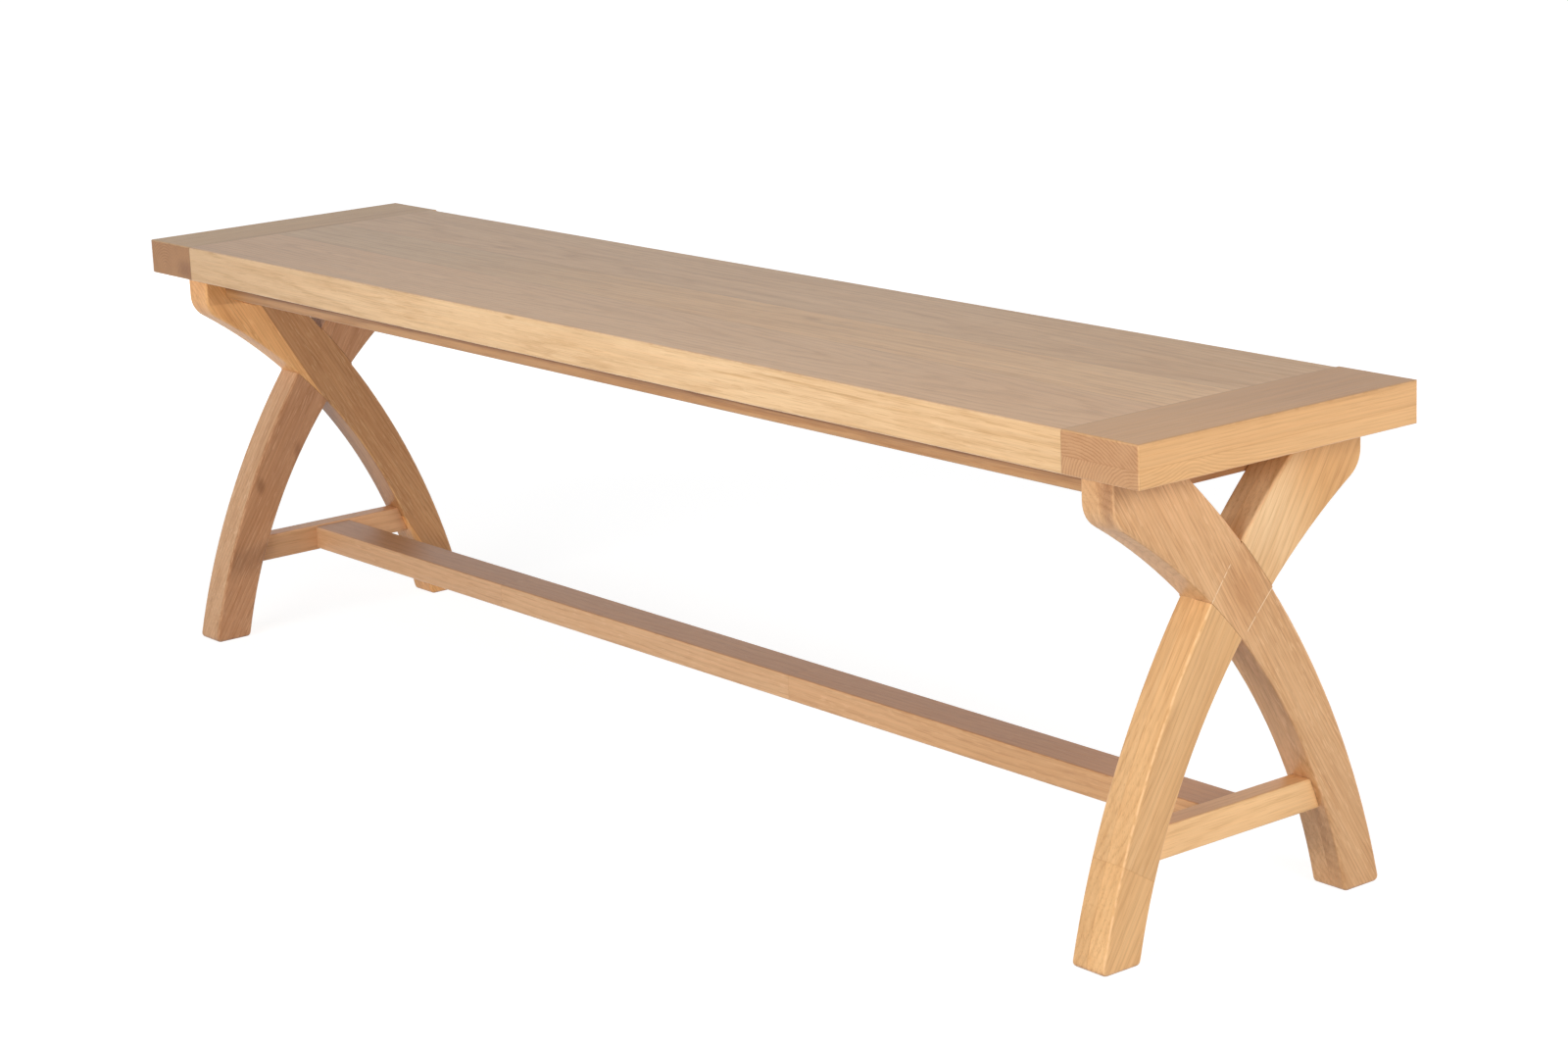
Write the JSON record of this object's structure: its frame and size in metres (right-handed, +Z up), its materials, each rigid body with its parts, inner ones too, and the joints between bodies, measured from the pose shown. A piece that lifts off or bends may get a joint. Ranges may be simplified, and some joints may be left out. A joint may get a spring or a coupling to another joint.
{
  "type": "cross leg bench",
  "caption": "Backless timber bench: a slab seat with end boards on crossed, bowed leg frames joined by foot rails and a long stretcher.",
  "frame": {"origin": "on the floor, below the middle of the bench", "axes": "+X along the seat, +Y from the front long side to the rear long side, +Z up"},
  "size_m": [1.6, 0.3362, 0.46],
  "materials": {
    "seat_front": "matt lacquered oak, light face",
    "seat_middle": "matt lacquered oak",
    "seat_rear": "matt lacquered oak",
    "seat_end": "matt lacquered oak, end grain at the sides",
    "leg_pale": "matt lacquered oak, glued up from strips",
    "leg_tan": "matt lacquered oak, glued up from strips",
    "rail": "matt lacquered oak",
    "stretcher": "matt lacquered oak, jointed lengthways",
    "batten": "matt lacquered oak, in the seat's shade",
    "screw": "zinc plated"
  },
  "bodies": {
    "root": {"seat_board_front": "seat_front", "seat_board_middle": "seat_middle", "seat_board_rear": "seat_rear", "end_board_right": "seat_end", "end_board_left": "seat_end", "leg_right_rear_foot": "leg_tan", "leg_right_front_foot": "leg_pale", "leg_left_rear_foot": "leg_tan", "leg_left_front_foot": "leg_pale", "foot_rail_right": "rail", "foot_rail_left": "rail", "stretcher": "stretcher", "apron_front": "batten", "apron_rear": "batten", "cleat_right": "batten", "cleat_left": "batten", "apron_screw_front_1": "screw", "apron_screw_front_2": "screw", "apron_screw_front_3": "screw", "apron_screw_front_4": "screw", "apron_screw_rear_1": "screw", "apron_screw_rear_2": "screw", "apron_screw_rear_3": "screw", "apron_screw_rear_4": "screw", "cleat_screw_left_1": "screw", "cleat_screw_left_2": "screw", "cleat_screw_left_3": "screw", "cleat_screw_right_1": "screw", "cleat_screw_right_2": "screw", "cleat_screw_right_3": "screw", "coach_screw_left_1": "screw", "coach_screw_left_2": "screw", "coach_screw_left_3": "screw", "coach_screw_left_4": "screw", "coach_screw_right_1": "screw", "coach_screw_right_2": "screw", "coach_screw_right_3": "screw", "coach_screw_right_4": "screw"}
  },
  "joints": []
}
